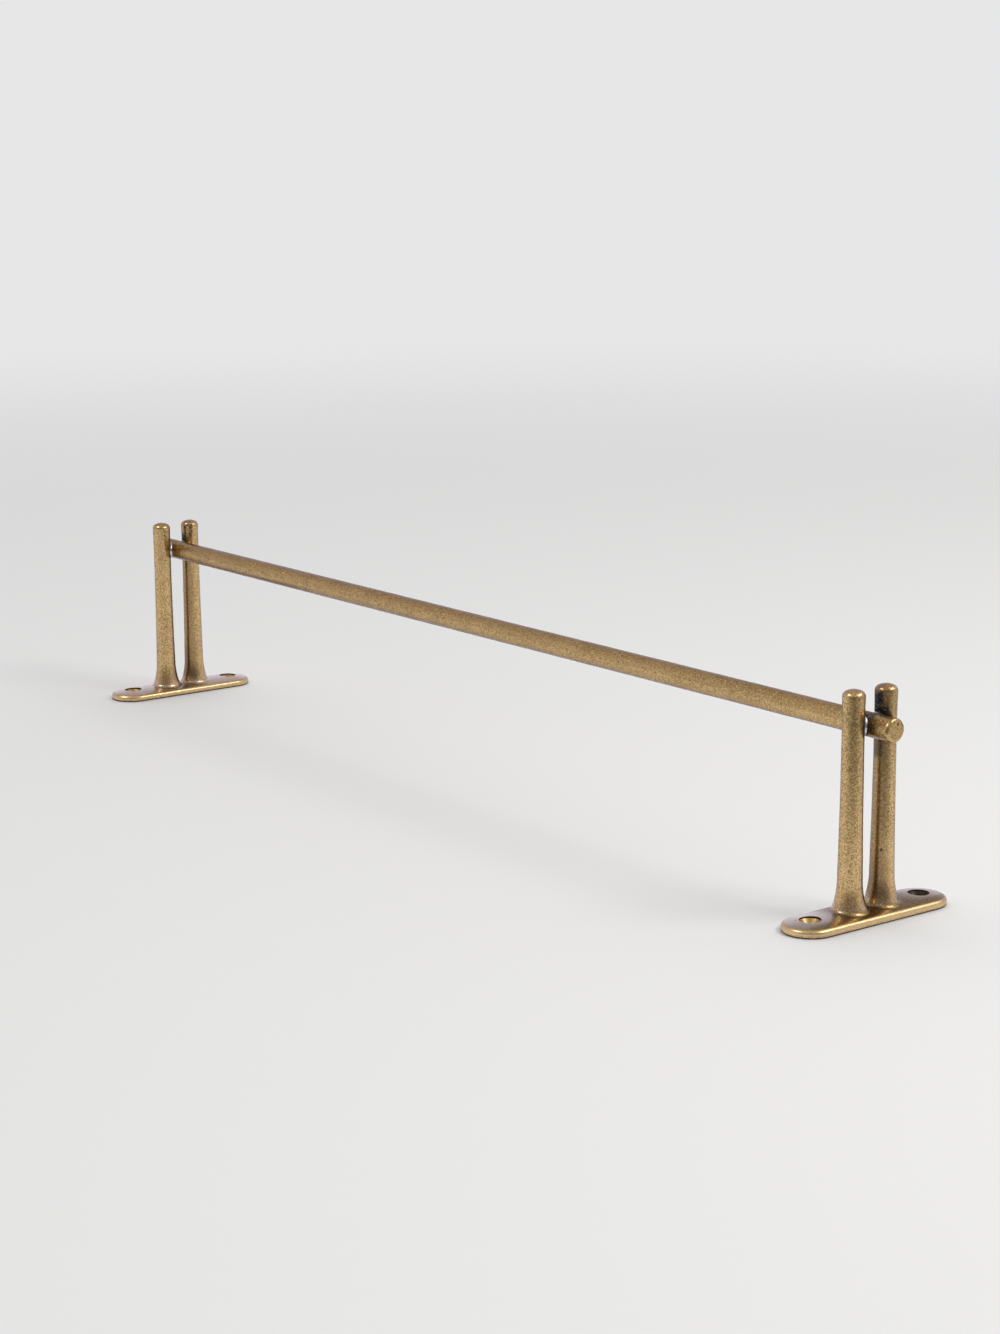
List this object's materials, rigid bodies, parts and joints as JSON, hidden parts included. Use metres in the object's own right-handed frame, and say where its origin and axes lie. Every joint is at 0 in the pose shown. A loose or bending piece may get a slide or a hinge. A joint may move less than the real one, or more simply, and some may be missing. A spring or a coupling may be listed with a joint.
{
  "type": "towel bar",
  "caption": "Cast brass towel bar: a solid round bar brazed between flared, dome-topped posts that stand on oblong wall plates with countersunk screw holes.",
  "frame": {"origin": "in the wall plane, midway between the wall plates", "axes": "+X along the bar, +Y along the wall plates, +Z out from the wall"},
  "size_m": [0.6, 0.088, 0.1],
  "materials": {
    "bar_brass": "aged, fine cast grain",
    "bracket_brass": "aged, fine cast grain",
    "braze_metal": "bright, as run"
  },
  "bodies": {
    "root": {"bar": "bar_brass", "left_bracket": "bracket_brass", "right_bracket": "bracket_brass", "braze_left_front": "braze_metal", "braze_left_rear": "braze_metal", "braze_right_front": "braze_metal", "braze_right_rear": "braze_metal"}
  },
  "joints": []
}
